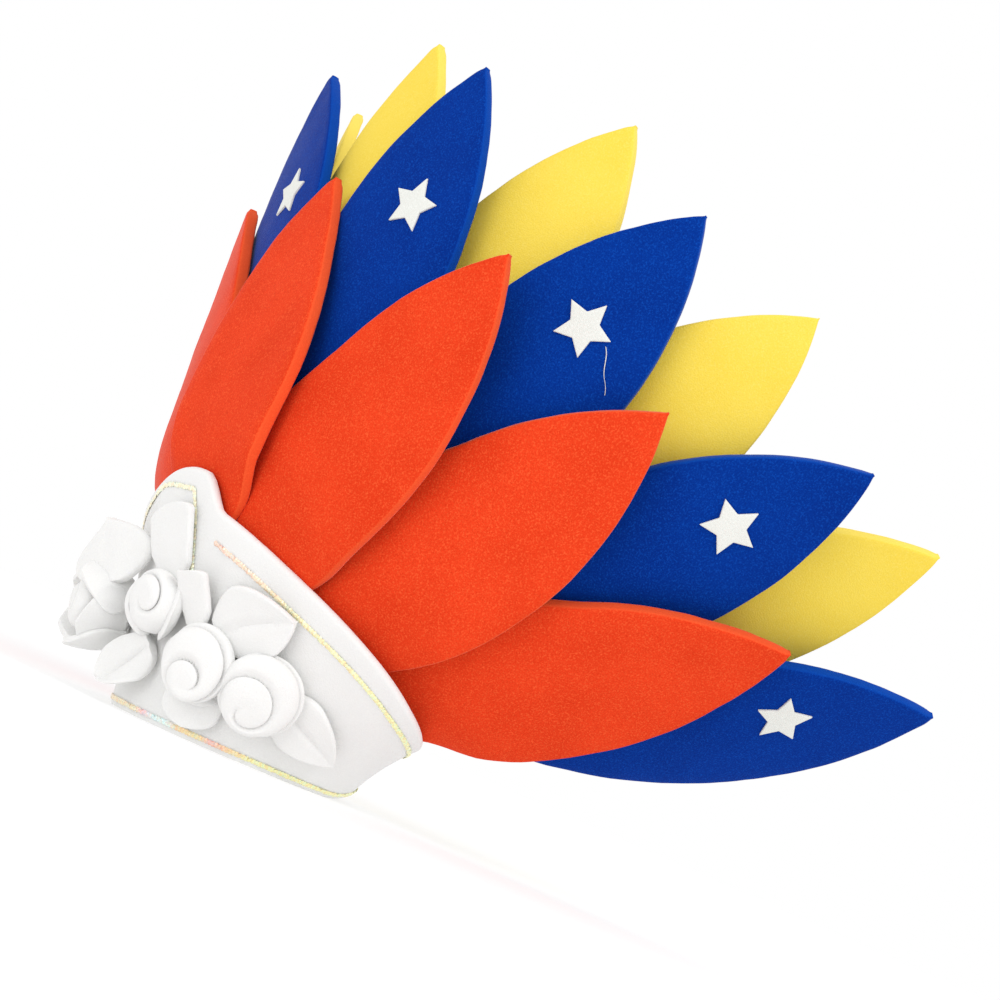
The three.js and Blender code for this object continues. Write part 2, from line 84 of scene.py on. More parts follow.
def rim_edge(turn):
    """The lower edge of the band, turned from the forehead towards the wearer's left."""
    depth = np.where(np.cos(turn) > 0, RIM_FRONT, RIM_BACK)
    away = np.abs(np.arctan2(np.sin(turn), np.cos(turn)))
    lift = RIM_LIFT * ease(away, LIFT_FROM, LIFT_TO)
    return np.stack([RIM_SIDE * np.sin(turn), -depth * np.cos(turn), lift], -1)


def peak_share(turn):
    """How much of the peak's rise there is at a turn, from 0 beside it to 1 at its top."""
    away = np.arctan2(np.sin(turn - PEAK_AT), np.cos(turn - PEAK_AT))
    return 1 - np.where(away > 0, ease(away, *PEAK_LEFT_SIDE), ease(-away, *PEAK_RIGHT_SIDE))


def crest_edge(turn):
    """The upper edge of the band, with the peak carried on in line with the wall."""
    forward = np.cos(turn)
    corner = 1 - CORNERS_IN * np.sin(2 * turn) ** 2 * (forward > 0)
    y = -np.where(forward > 0, CREST_FRONT, CREST_BACK) * forward * corner
    to_back = np.maximum(0, y / CREST_BACK)
    nape = CREST_HEIGHT + CREST_SLOPE * CREST_BACK
    height = CREST_HEIGHT + CREST_SLOPE * y + (NAPE_HEIGHT - nape) * to_back**2
    height = height + PEAK_BROW * np.maximum(0, forward) ** 6
    share = 1 + PEAK_RISE * peak_share(turn) / height
    top = np.stack([CREST_SIDE * np.sin(turn) * corner, y, height], -1)
    return rim_edge(turn) + (top - rim_edge(turn)) * share[..., None]


def wall_surface(turn, rise):
    """The band's outer surface, from rise 0 at the rim to 1 at the crest."""
    outward = np.stack([np.sin(turn), -np.cos(turn), 0 * turn], -1)
    hollow = -4 * WALL_BOW * rise * (1 - rise)
    low, high = rim_edge(turn), crest_edge(turn)
    return low + (high - low) * rise[..., None] + outward * hollow[..., None]


def wall_frame(turn, rise):
    """Directions out of the wall and up it, and its length per turn and per rise."""
    turn, rise = np.broadcast_arrays(np.asarray(turn, float), np.asarray(rise, float))
    step = FRAME_STEP
    around = (wall_surface(turn + step, rise) - wall_surface(turn - step, rise)) / (2 * step)
    up = (wall_surface(turn, rise + step) - wall_surface(turn, rise - step)) / (2 * step)
    out = np.cross(around, up)
    out /= np.linalg.norm(out, axis=-1, keepdims=True)
    per_turn, per_rise = np.linalg.norm(around, axis=-1), np.linalg.norm(up, axis=-1)
    return out, up / per_rise[..., None], per_turn, per_rise


def off_wall(turn, rise, out):
    """A point that stands out from the wall's outer surface."""
    turn, rise, out = np.broadcast_arrays(*(np.asarray(v, float) for v in (turn, rise, out)))
    return wall_surface(turn, rise) + wall_frame(turn, rise)[0] * out[..., None]


def foam_shape(name, *shells, ring=False, wobble=0.0003, seed=0, painted_lit_sides=()):
    """One object of closed, smoothly shaded shells, each swept through sections of points.

    wobble is how far the surface wanders, because foam is never cut quite true. The sides given
    are the places in every section that lie on a cut side, where the colour is painted paler:
    painted light standing in for the lamp that falls on the sides.
    """
    points, faces, painted_light_weights = [], [], []
    for sections in shells:
        count, around = sections.shape[:2]
        index = len(points) + np.arange(count * around).reshape(count, around)
        here, there = (index, np.roll(index, -1, 0)) if ring else (index[:-1], index[1:])
        quads = np.stack([here, np.roll(here, -1, 1), np.roll(there, -1, 1), there], -1)
        faces += quads.reshape(-1, 4).tolist()
        if not ring:
            faces += [index[0, ::-1].tolist(), index[-1].tolist()]
        points += (sections.reshape(-1, 3) + rim_centre).tolist()
        # Points on a cut side get weight 1, and the material paints them paler: painted light on
        # the sides.
        painted_light_weights += count * [float(place in painted_lit_sides) for place in range(around)]
    mesh = bpy.data.meshes.new(name)
    mesh.from_pydata(points, [], faces)
    mesh.attributes.new("cut", "FLOAT", "POINT").data.foreach_set("value", painted_light_weights)
    weld = bmesh.new()
    weld.from_mesh(mesh)
    bmesh.ops.remove_doubles(weld, verts=weld.verts, dist=WELD_WITHIN)
    bmesh.ops.recalc_face_normals(weld, faces=weld.faces)
    weld.normal_update()
    offset = Vector((seed * 3.7, seed * 1.3, seed * 2.1))
    shifts = [
        noise.noise(v.co * BROAD_WAVES + offset) + FINE_SHARE * noise.noise(v.co * FINE_WAVES)
        for v in weld.verts
    ]
    for vertex, shift in zip(weld.verts, shifts):
        vertex.co += vertex.normal * wobble * shift
    weld.to_mesh(mesh)
    weld.free()
    mesh.shade_smooth()
    mesh.set_sharp_from_angle(angle=SHARP_FROM)
    piece = bpy.data.objects.new(name, mesh)
    bpy.context.scene.collection.objects.link(piece)
    return piece


def add_node(tree, kind, values=(), **settings):
    """Adds a shader node, with its settings and the values or links of its named inputs."""
    made = tree.nodes.new(kind)
    for key, value in settings.items():
        setattr(made, key, value)
    for key, value in dict(values).items():
        if isinstance(value, bpy.types.NodeSocket):
            tree.links.new(value, made.inputs[key])
        else:
            made.inputs[key].default_value = value
    return made


def foam_rubber(name, colour, pore, fleck_and_side_light, softness=0.0):
    """Open-cell foam rubber: broad faint patches, a fine grain of pores and pale cell walls, and
    painted light: its cut sides are mixed towards the cell walls' pale colour.
    """
    material = bpy.data.materials.new(name)
    material.use_nodes = True
    tree = material.node_tree
    shader = tree.nodes["Principled BSDF"]
    place = add_node(tree, "ShaderNodeTexCoord").outputs["Object"]

    def layer(under, tint, scale, detail, start, end, most):
        """Mixes a tint over what is under it, where noise of this scale runs from start to end."""
        source = add_node(
            tree, "ShaderNodeTexNoise", {"Vector": place, "Scale": scale, "Detail": detail}
        )
        share = add_node(
            tree,
            "ShaderNodeMapRange",
            {"Value": source.outputs["Fac"], "From Min": start, "From Max": end, "To Max": most},
        )
        mix = add_node(
            tree, "ShaderNodeMix", {"Factor": share.outputs[0], "B": (*tint, 1)}, data_type="RGBA"
        )
        if isinstance(under, bpy.types.NodeSocket):
            tree.links.new(under, mix.inputs["A"])
        else:
            mix.inputs["A"].default_value = (*under, 1)
        return mix.outputs["Result"], source.outputs["Fac"]

    patched, _ = layer(colour, pore, 21.0, 3.0, 0.38, 0.70, 0.45)
    pored, grain = layer(patched, pore, 900.0, 2.0, 0.52, 0.30, 0.65)
    flecked, _ = layer(pored, fleck_and_side_light, 760.0, 2.0, 0.50, 0.70, 0.65)
    # Painted light: cut sides are mixed 60% towards the pale cell-wall colour, as if lit by the
    # lamp.
    cut = add_node(tree, "ShaderNodeAttribute", attribute_name="cut").outputs["Fac"]
    share = add_node(tree, "ShaderNodeMath", {0: cut, 1: 0.6}, operation="MULTIPLY")
    painted_light_mix = add_node(
        tree,
        "ShaderNodeMix",
        {"Factor": share.outputs[0], "A": flecked, "B": (*fleck_and_side_light, 1)},
        data_type="RGBA",
    )
    tree.links.new(painted_light_mix.outputs["Result"], shader.inputs["Base Color"])
    cells = add_node(tree, "ShaderNodeTexVoronoi", {"Vector": place, "Scale": 900.0})
    height = add_node(
        tree, "ShaderNodeMath", {0: cells.outputs["Distance"], 1: grain}, operation="ADD"
    )
    bump = add_node(
        tree, "ShaderNodeBump", {"Height": height.outputs[0], "Strength": 0.3, "Distance": 0.0005}
    )
    tree.links.new(bump.outputs["Normal"], shader.inputs["Normal"])
    shader.inputs["Roughness"].default_value = 0.95
    shader.inputs["Specular IOR Level"].default_value = 0.04
    shader.inputs["Sheen Weight"].default_value = 0.0 if softness else 0.22
    shader.inputs["Sheen Roughness"].default_value = 0.28
    if softness:
        shader.inputs["Subsurface Weight"].default_value = softness
        shader.inputs["Subsurface Radius"].default_value = (0.004, 0.004, 0.0036)
        shader.inputs["Subsurface Scale"].default_value = 1.0
    return material


def round_section(turn):
    """A section through the band: flat under the rim, with its corners cut a little, and rounded
    over the crest.
    """
    half = BAND_FOAM / 2
    top = 1 - half / wall_frame(turn, 1.0)[3]
    levels = top * np.linspace(0.03, 1, 18)
    outside = off_wall(turn, levels, 0)
    inside = off_wall(turn, levels[::-1], -BAND_FOAM)
    out, up, _, _ = wall_frame(turn, top)
    centre = off_wall(turn, top, -half)
    arc = np.radians([22, 45, 67, 90, 113, 135, 158])[:, None]
    over = centre + half * (np.cos(arc) * out + np.sin(arc) * up)
    flat_out = wall_frame(turn, 0.0)[0] * (1, 1, 0)
    flat_out = flat_out / np.dot(flat_out, flat_out)
    foot = rim_edge(np.asarray(turn)) - BAND_FOAM * np.linspace(0.92, 0.08, 4)[:, None] * flat_out
    return np.concatenate([outside, over, inside, foot])


white_foam = foam_rubber(
    "white_foam", (0.81, 0.81, 0.80), (0.78, 0.78, 0.77), (0.83, 0.83, 0.82), softness=0.15
)
band_turns = np.linspace(0, 2 * math.pi, 180, endpoint=False)
band = foam_shape("foam_band", np.stack([round_section(turn) for turn in band_turns]), ring=True)
band.data.materials.append(white_foam)
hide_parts("band")
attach(band, "root")


# ---------------------------------------------------------------- the sequin tapes
# Two narrow tapes of small iridescent sequins are glued round the outside of the band. The lower
# one runs just above the rim. The upper one runs below the crest and over the peak, and there it
# turns down along the edge of the square leaf. Each sequin overlaps the next.

SEQUIN_RADIUS, SEQUIN_HOLE, SEQUIN_DEPTH, SEQUIN_STEP = 0.0022, 0.0007, 0.0006, 0.0027
SEQUIN_TILT = 0.16
TAPE_SEAT, TAPE_POINTS = 0.0006, 720
TOP_TAPE_BELOW, TOP_TAPE_BELOW_BACK, TOP_TAPE_RAISED = 0.022, 0.015, 0.006
BOTTOM_TAPE_ABOVE = 0.0055
# Past the peak on the wearer's right the tape runs straighter than the crest and comes up to it.
STRAIGHTER_BY, STRAIGHTER_FROM, STRAIGHTER_TO = 0.0115, np.radians([3, 20]), np.radians([30, 50])
# The upper tape starts beside the peak, goes all the way round and is turned down on the peak.
TAPE_STARTS, TURNED_DOWN_AT = math.radians(19), math.radians(5)
TURNED_DOWN_TO = (math.radians(14), 0.64)

# Tints along each tape, by turn in degrees.
TOP_TINTS = [
    (-180, (0.80, 0.84, 0.36)),
    (-60, (0.90, 0.66, 0.50)),
    (-10, (0.88, 0.87, 0.60)),
    (15, (0.88, 0.87, 0.62)),
    (18, (0.92, 0.56, 0.48)),
    (36, (0.93, 0.70, 0.52)),
    (50, (0.92, 0.84, 0.46)),
    (90, (0.82, 0.86, 0.34)),
    (180, (0.80, 0.84, 0.36)),
]
BOTTOM_TINTS = [
    (-180, (0.84, 0.84, 0.34)),
    (-40, (0.92, 0.60, 0.36)),
    (8, (0.90, 0.80, 0.50)),
    (14, (0.92, 0.42, 0.55)),
    (20, (0.62, 0.86, 0.92)),
    (29, (0.76, 0.90, 0.88)),
    (33, (0.93, 0.66, 0.30)),
    (43, (0.92, 0.72, 0.26)),
    (48, (0.93, 0.34, 0.34)),
    (56, (0.92, 0.62, 0.30)),
    (66, (0.86, 0.84, 0.28)),
    (180, (0.84, 0.84, 0.34)),
]


def sequin_row_tree(material):
    """Geometry Nodes: a cupped sequin on every point, turned to the wall and to its neighbour."""
    tree = bpy.data.node_groups.new("sequin_row", "GeometryNodeTree")
    tree.interface.new_socket("Geometry", in_out="INPUT", socket_type="NodeSocketGeometry")
    tree.interface.new_socket("Sequin radius", in_out="INPUT", socket_type="NodeSocketFloat")
    tree.interface.new_socket("Tilt", in_out="INPUT", socket_type="NodeSocketFloat")
    tree.interface.new_socket("Geometry", in_out="OUTPUT", socket_type="NodeSocketGeometry")
    given = tree.nodes.new("NodeGroupInput").outputs
    result = tree.nodes.new("NodeGroupOutput")
    sequin = add_node(
        tree,
        "GeometryNodeMeshCone",
        {
            "Vertices": 8,
            "Radius Top": SEQUIN_HOLE,
            "Radius Bottom": given["Sequin radius"],
            "Depth": SEQUIN_DEPTH,
        },
    )
    out, along = (
        add_node(
            tree, "GeometryNodeInputNamedAttribute", {"Name": label}, data_type="FLOAT_VECTOR"
        )
        for label in ("out", "along")
    )
    upright = add_node(
        tree, "FunctionNodeAlignRotationToVector", {"Vector": out.outputs["Attribute"]}, axis="Z"
    )
    aligned = add_node(
        tree,
        "FunctionNodeAlignRotationToVector",
        {"Rotation": upright.outputs[0], "Vector": along.outputs["Attribute"]},
        axis="X",
        pivot_axis="Z",
    )
    low, high = (-0.18, -0.25, -3.0), (0.18, 0.25, 3.0)
    chance = add_node(
        tree,
        "FunctionNodeRandomValue",
        {"Min": low, "Max": high, "Seed": 7},
        data_type="FLOAT_VECTOR",
    )
    leaning = add_node(tree, "ShaderNodeCombineXYZ", {"Y": given["Tilt"]})
    added = add_node(
        tree,
        "ShaderNodeVectorMath",
        {0: chance.outputs["Value"], 1: leaning.outputs[0]},
        operation="ADD",
    )
    turned = add_node(
        tree,
        "FunctionNodeRotateRotation",
        {"Rotation": aligned.outputs[0], "Rotate By": added.outputs[0]},
        rotation_space="LOCAL",
    )
    sown = add_node(
        tree,
        "GeometryNodeInstanceOnPoints",
        {
            "Points": given["Geometry"],
            "Instance": sequin.outputs["Mesh"],
            "Rotation": turned.outputs[0],
        },
    )
    real = add_node(tree, "GeometryNodeRealizeInstances", {"Geometry": sown.outputs[0]})
    painted = add_node(
        tree, "GeometryNodeSetMaterial", {"Geometry": real.outputs[0], "Material": material}
    )
    tree.links.new(painted.outputs[0], result.inputs["Geometry"])
    return tree


def sequin_plastic():
    """Clear iridescent film: its tint comes from the tape, mixed with a pearl hue that changes from
    patch to patch.
    """
    material = bpy.data.materials.new("sequin_film")
    material.use_nodes = True
    tree = material.node_tree
    shader = tree.nodes["Principled BSDF"]
    tint = add_node(tree, "ShaderNodeAttribute", attribute_name="tint").outputs["Color"]
    place = add_node(tree, "ShaderNodeTexCoord").outputs["Object"]
    chance = add_node(tree, "ShaderNodeTexNoise", {"Vector": place, "Scale": 420.0, "Detail": 1.0})
    ramp = add_node(tree, "ShaderNodeValToRGB", {"Fac": chance.outputs["Fac"]})
    stops = ramp.color_ramp.elements
    stops[0].position, stops[0].color = 0.36, (0.98, 0.55, 0.52, 1)
    stops[1].position, stops[1].color = 0.66, (0.60, 0.95, 0.90, 1)
    stops.new(0.46).color = (0.98, 0.92, 0.52, 1)
    stops.new(0.56).color = (0.97, 0.97, 0.95, 1)
    mixed = add_node(
        tree,
        "ShaderNodeMix",
        {"Factor": 0.35, "A": tint, "B": ramp.outputs["Color"]},
        data_type="RGBA",
    )
    tree.links.new(mixed.outputs["Result"], shader.inputs["Base Color"])
    shader.inputs["Roughness"].default_value = 0.22
    shader.inputs["Coat Weight"].default_value = 0.6
    shader.inputs["Coat Roughness"].default_value = 0.1
    shader.inputs["Metallic"].default_value = 0.15
    return material


sequin_film = sequin_plastic()
sequin_tree = sequin_row_tree(sequin_film)


def sequin_tape(name, node, turns, rises, tints):
    """One tape: evenly spaced points along a line on the band, with a sequin on each."""
    line = off_wall(turns, rises, TAPE_SEAT)
    length = np.concatenate([[0], np.cumsum(np.linalg.norm(np.diff(line, axis=0), axis=1))])
    marks = np.arange(0, length[-1], SEQUIN_STEP)
    turns, rises = np.interp(marks, length, turns), np.interp(marks, length, rises)
    points, out = off_wall(turns, rises, TAPE_SEAT), wall_frame(turns, rises)[0]
    along = np.gradient(points, axis=0)
    along /= np.linalg.norm(along, axis=1, keepdims=True)
    degrees = (np.degrees(turns) + 180) % 360 - 180
    at, shades = [row[0] for row in tints], np.array([row[1] for row in tints])
    colours = np.stack([np.interp(degrees, at, shades[:, k]) for k in range(3)], 1)
    mesh = bpy.data.meshes.new(name + "_line")
    mesh.from_pydata((points + rim_centre).tolist(), [], [])
    for label, values in (("out", out), ("along", along)):
        attribute = mesh.attributes.new(label, "FLOAT_VECTOR", "POINT")
        attribute.data.foreach_set("vector", values.ravel())
    rgba = np.concatenate([colours, np.ones((len(points), 1))], 1)
    mesh.attributes.new("tint", "FLOAT_COLOR", "POINT").data.foreach_set("color", rgba.ravel())
    line_object = bpy.data.objects.new(name + "_line", mesh)
    bpy.context.scene.collection.objects.link(line_object)
    row = line_object.modifiers.new("sequins", "NODES")
    row.node_group = sequin_tree
    given = [item for item in sequin_tree.interface.items_tree if item.in_out == "INPUT"]
    sockets = {item.name: item.identifier for item in given}
    row[sockets["Sequin radius"]] = SEQUIN_RADIUS
    row[sockets["Tilt"]] = SEQUIN_TILT
    evaluated = line_object.evaluated_get(bpy.context.evaluated_depsgraph_get())
    tape = bpy.data.objects.new(name, bpy.data.meshes.new_from_object(evaluated))
    bpy.data.objects.remove(line_object)
    bpy.context.scene.collection.objects.link(tape)
    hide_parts(node)
    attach(tape, "root")


def top_tape_rise(turn):
    """Height of the upper tape, which comes closer to the crest at the peak and the back."""
    past = np.arctan2(np.sin(PEAK_AT - turn), np.cos(PEAK_AT - turn))
    straighter = STRAIGHTER_BY * ease(past, *STRAIGHTER_FROM) * (1 - ease(past, *STRAIGHTER_TO))
    to_front = ease(np.cos(turn), -0.6, 0.8)
    below = TOP_TAPE_BELOW_BACK + (TOP_TAPE_BELOW - TOP_TAPE_BELOW_BACK) * to_front
    raised = TOP_TAPE_RAISED * peak_share(turn) + straighter
    return 1 - (below - raised) / wall_frame(turn, 1.0)[3]


around_top = np.linspace(TAPE_STARTS, 2 * math.pi + TURNED_DOWN_AT, TAPE_POINTS)
sequin_tape(
    "sequins_top",
    "trim_top",
    np.append(around_top, 2 * math.pi + TURNED_DOWN_TO[0]),
    np.append(top_tape_rise(around_top), TURNED_DOWN_TO[1]),
    TOP_TINTS,
)
around_rim = np.linspace(0, 2 * math.pi, TAPE_POINTS)
above_rim = BOTTOM_TAPE_ABOVE / wall_frame(around_rim, 0.0)[3]
sequin_tape("sequins_bottom", "trim_bottom", around_rim, above_rim, BOTTOM_TINTS)


# ---------------------------------------------------------------- the rolled roses
# Each rose is a thick strip of white foam rolled up from its heart, so its face shows a soft
# spiral between rounded lips. Loose petals are wrapped round the ones at the front. The roses
# press against each other on the front of the band.

# Place round the band in degrees, height on it, radius, how far it stands out, the turn of its
# spiral in degrees, how many times it is rolled, and how its heart leans round and up the band.
ROSES = {
    "rose_front_right": (-24, 0.44, 0.0270, 0.048, 200, 2.0, (0.2, 0.0)),
    "rose_front_bud": (7.5, 0.46, 0.0230, 0.029, 150, 1.5, (0.2, 0.2)),
    "rose_left_inner": (32, 0.39, 0.0270, 0.031, 250, 2.0, (0.22, -0.65)),
    "rose_left_outer": (55.5, 0.445, 0.0300, 0.028, 100, 2.2, (-0.06, -0.60)),
    "rose_right_outer": (-58, 0.43, 0.0300, 0.027, 10, 2.4, (0.2, -0.4)),
}

# Petals wrapped round a rose: the way each faces in degrees (0 towards the wearer's left, 90 up
# the wall), its spread in degrees, where along the rose's depth its tip ends, its gap from the
# roll, and how far its tip curls out.
PETALS = {
    "rose_front_right": [
        (-35, 68, 0.92, 0.0010, 0.009),
        (48, 60, 0.98, 0.0030, 0.006),
        (140, 62, 1.02, 0.0015, 0.008),
        (208, 58, 1.10, 0.0030, 0.009),
        (275, 52, 1.02, 0.0040, 0.007),
    ],
    "rose_front_bud": [(-8, 66, 0.66, 0.0004, 0.008), (205, 60, 0.80, 0.0010, 0.003)],
    "rose_left_inner": [(245, 75, 0.52, 0.0010, 0.003)],
}
GROOVE_DEEP, GROOVE_WIDE, LIP_RISE, LIP_SLANT = 0.0048, 0.0013, 0.0016, 0.0022
SPIRAL_REACH, SPIRAL_FADES = math.radians(100), (math.radians(80), math.radians(110))
IN_FRONT, BEHIND = 0.6, 0.4  # shares of a rose's depth in front of its widest place and behind it
PETAL_FOAM, PETAL_EDGE, PETAL_FROM = 0.0054, 0.0021, 0.08
# Points of a sheet section on its two cut sides, which are painted paler as painted light.
PAINTED_LIT_SIDES = [14, 15, 16, 17, 33, 34, 35, 36]


def sheet_outline(half, thickness, edge):
    """A section through foam sheet, as (across, height), with its cut sides rounded over.

    Its points at the places in PAINTED_LIT_SIDES lie on the two cut sides.
    """
    reach, edge = min(edge, 0.9 * half), min(edge, 0.45 * thickness)
    top = thickness / 2
    face = [(w, top) for w in np.linspace(-1, 1, 13) * (half - reach)]
    corner = [
        (half - reach * (1 - math.sin(turn)), top - edge * (1 - math.cos(turn)))
        for turn in np.radians([30, 60, 90])
    ]
    upper = face + corner + [(w, -h) for w, h in reversed(corner)]
    return np.array(upper + [(-w, -h) for w, h in upper])


def rose_frame(turn, rise):
    """Directions out of a rose's seat, towards the wearer's left and up the wall."""
    out, up, _, _ = wall_frame(math.radians(turn), rise)
    side = np.cross(up, out)
    return out, side / np.linalg.norm(side), up


def rolled_rose(turn, rise, radius, depth, start, rolls, lean):
    """Rings of points over a soft ball, pressed in along the spiral between its lips."""
    out, side, up = rose_frame(turn, rise)
    tilt = np.linspace(0, math.pi, 110)[:, None]
    angle = np.linspace(0, 2 * math.pi, 120, endpoint=False)[None, :]
    pitch = SPIRAL_REACH / rolls
    lap = tilt / pitch - (angle - math.radians(start)) / (2 * math.pi)
    across = lap - np.floor(lap)
    nearest = np.minimum(across, 1 - across) * pitch * radius
    strength = ease(tilt, 0.10 * pitch, 0.45 * pitch) * (1 - ease(tilt, *SPIRAL_FADES))
    groove = GROOVE_DEEP * np.exp(-((nearest / GROOVE_WIDE) ** 2))
    lip = LIP_RISE * (1 - (2 * across - 1) ** 2) - LIP_SLANT * (across - 0.5)
    reach = 1 + strength * (lip - groove) / radius
    high = np.where(tilt < math.pi / 2, depth * IN_FRONT, depth * BEHIND)
    sideways = radius * np.sin(tilt) ** 0.9 * reach
    lift = high * np.sign(np.cos(tilt)) * np.abs(np.cos(tilt)) ** 0.85 * reach
    skew = radius * 0.8 * np.maximum(0, np.cos(tilt)) ** 2
    x = sideways * np.cos(angle) + skew * lean[0]
    y = sideways * np.sin(angle) + skew * lean[1]
    lift = np.broadcast_to(lift, x.shape)
    middle = off_wall(math.radians(turn), rise, depth * BEHIND)
    return middle + x[..., None] * side + y[..., None] * up + lift[..., None] * out


def rose_petal(shape, faces, spread, ends, gap, curl):
    """Sections of one petal from under the rose, round its side, to the rolled-out tip."""
    turn, rise, radius, depth = shape[:4]
    out, side, up = rose_frame(turn, rise)
    foot = off_wall(math.radians(turn), rise, 0.001)
    sections = []
    for t in 1 - (1 - np.linspace(0, 1, 30)) ** 1.3:
        height = depth * (PETAL_FROM + (ends - PETAL_FROM) * t)
        bulge = math.sin(math.pi * min(0.95, 0.22 + 0.55 * t)) ** 0.8
        around = radius * bulge + gap + curl * t**4
        full = max(0.03, math.sin(math.pi * (0.25 + 0.745 * t**1.2)) ** 0.8)
        outline = sheet_outline(around * math.radians(spread) * full, PETAL_FOAM, PETAL_EDGE)
        w, h = outline[:, 0], outline[:, 1]
        angle = math.radians(faces) + w / around
        away = around + h + 0.10 * np.abs(w) * t
        level = height - 0.25 * curl * t**4 - 0.12 * w * w / radius
        sections.append(
            foot
            + (away * np.cos(angle))[:, None] * side
            + (away * np.sin(angle))[:, None] * up
            + level[:, None] * out
        )
    return np.stack(sections)


for seed, (name, shape) in enumerate(ROSES.items()):
    petals = [rose_petal(shape, *petal) for petal in PETALS.get(name, [])]
    rose = foam_shape(name + "_rolled", rolled_rose(*shape), *petals, wobble=0.0008, seed=seed)
    rose.data.materials.append(white_foam)
    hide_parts(name)
    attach(rose, "root")


# ---------------------------------------------------------------- the leaves
# Leaves and loose petals cut from 6 mm foam, with rounded edges and a soft crease down the
# middle. Their stalk ends are tucked under the roses and their tips lift off the band.

LEAF_FOAM, LEAF_EDGE, LEAF_SEAT = 0.006, 0.0024, 0.0005
LEAF_CROWN, CREASE_WIDE = 0.0016, 0.0020

# Place round the band in degrees, height on it, the way it points (0 up the wall, 90 towards the
# wearer's left), length, half width, how blunt its tip is (2 is square), how high its stalk end
# stands, how far its tip lifts, the depth of its crease, its slant out of the wall, how far its
# sides fold up, and the slant of its cut tip.
LEAVES = {
    "leaf_peak": (6.8, 0.56, -17, 0.057, 0.0225, 2.0, 0.0, 0.002, 0.0, 0.0, 0.0, 0.0),
    "leaf_upright": (24.5, 0.50, -19, 0.040, 0.0125, 2.0, 0.003, 0.009, 0.0, 0.0, 0.0, 0.30),
    "leaf_left_high": (32, 0.54, 43, 0.067, 0.027, 0.3, 0.0, 0.003, 0.0022, 0.0, 0.003, 0.0),
    "leaf_left_low": (61, 0.435, 100, 0.063, 0.025, 0.3, 0.0, 0.003, 0.0020, 0.0, 0.002, 0.0),
    "petal_left_inner": (34, 0.33, 176, 0.041, 0.0235, 1.0, 0.0, 0.002, 0.0, 0.0, 0.0, 0.0),
    "leaf_front_high": (-15, 0.52, -14, 0.059, 0.025, 0.0, 0.021, 0.004, 0.0012, 0.8, 0.0, 0.0),
    "leaf_front_low": (9, 0.30, 217, 0.047, 0.021, 0.5, 0.003, 0.011, 0.0040, 0.0, 0.009, 0.0),
    "leaf_right_low": (-63, 0.40, 262, 0.060, 0.024, 0.3, 0.0, 0.003, 0.0020, 0.0, 0.002, 0.0),
}


def leaf_half(t, half, blunt):
    """Half width of a leaf, from 0 at its stalk end to 1 at its tip."""
    pointed = math.sin(math.pi * min(1, 0.12 + 0.88 * t**0.85))
    round_from = 0.62 + 0.30 * max(0, blunt - 1)
    rounded = math.sqrt(max(0, 1 - max(0, (t - round_from) / (1 - round_from)) ** 2))
    full = min(1, 0.55 + 1.2 * t) * rounded
    share = min(1, blunt)
    return max(0.0008, half * (pointed * (1 - share) + full * share))


def foam_leaf(turn, rise, points, length, half, blunt, off, lift, crease, slant, fold, cut):
    """Sections of a leaf that lies on the wall and lifts towards its tip."""
    _, _, per_turn, per_rise = wall_frame(math.radians(turn), rise)
    heading = math.radians(points)
    sections = []
    for t in 1 - (1 - np.linspace(0, 1, 44)) ** 1.4:
        width = leaf_half(t, half, blunt)
        outline = sheet_outline(width, LEAF_FOAM, LEAF_EDGE)
        w, h = outline[:, 0], outline[:, 1]
        along = t * length + cut * w * ease(t, 0.2, 1.0)
        right = along * math.sin(heading) + w * math.cos(heading)
        rising = along * math.cos(heading) - w * math.sin(heading)
        share = w / width
        pressed = crease * np.exp(-((w / CREASE_WIDE) ** 2))
        pressed = pressed * math.sin(math.pi * min(1, 0.1 + 0.9 * t))
        crown = LEAF_CROWN * (1 - share**2) - pressed
        under = LEAF_SEAT + off + lift * t**1.6 + LEAF_FOAM / 2
        curl = (fold + 0.08 * width) * np.abs(share) ** 1.6 * ease(t, 0.05, 0.7)
        out = under + h + np.where(h > 0, crown, 0) + curl - slant * w
        turns = math.radians(turn) + right / per_turn
        sections.append(off_wall(turns, rise + rising / per_rise, out))
    return np.stack(sections)


for seed, (name, shape) in enumerate(LEAVES.items()):
    leaf = foam_shape(name + "_cut", foam_leaf(*shape), wobble=0.0005, seed=seed + 10)
    leaf.data.materials.append(white_foam)
    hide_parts(name)
    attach(leaf, "root")


# ---------------------------------------------------------------- the feathers
# Three rows of the same leaf shape, cut from 10 mm foam sheet and glued in behind the band: seven
# red in front, eight blue, and seven yellow at the back. The red ones overlap like shingles.

SHEET, SHEET_EDGE = 0.010, 0.0023
FAN_LEAN, FAN_HEIGHT, FAN_FORWARD = math.radians(38), 0.1015, -0.002
RING_FRONT, RING_SIDE, RING_DIP = 0.132, 0.138, 0.0315
RING_STEP, AIM_STEP = math.radians(33.6), math.radians(32.4)
HALF_WIDTH, WIDEST_FROM_TIP = 0.065, 0.176
ROOT_HALF, ROOT_LENGTH, ROOT_PRESSED, ROOT_FULL, ROOT_SLOPE = 0.016, 0.014, 0.6, 0.030, 0.25
ROOT_DRAWN_IN, ROOT_FREE = 0.010, 0.080

# Places from the middle outward, flare from the fan's axis in degrees, reach from the ring to the
# tip, and how far the row's middle lies outside the ring.
ROWS = {
    "red": ((0, -1, 1, -2, 2, -3, 3), 39.6, 0.280, 0.0125),
    "blue": ((-0.5, 0.5, -1.5, 1.5, -2.5, 2.5, -3.5, 3.5), 38.4, 0.384, 0.0),
    "yellow": ((0, -1, 1, -2, 2, -3, 3), 35.2, 0.407, -0.012),
}

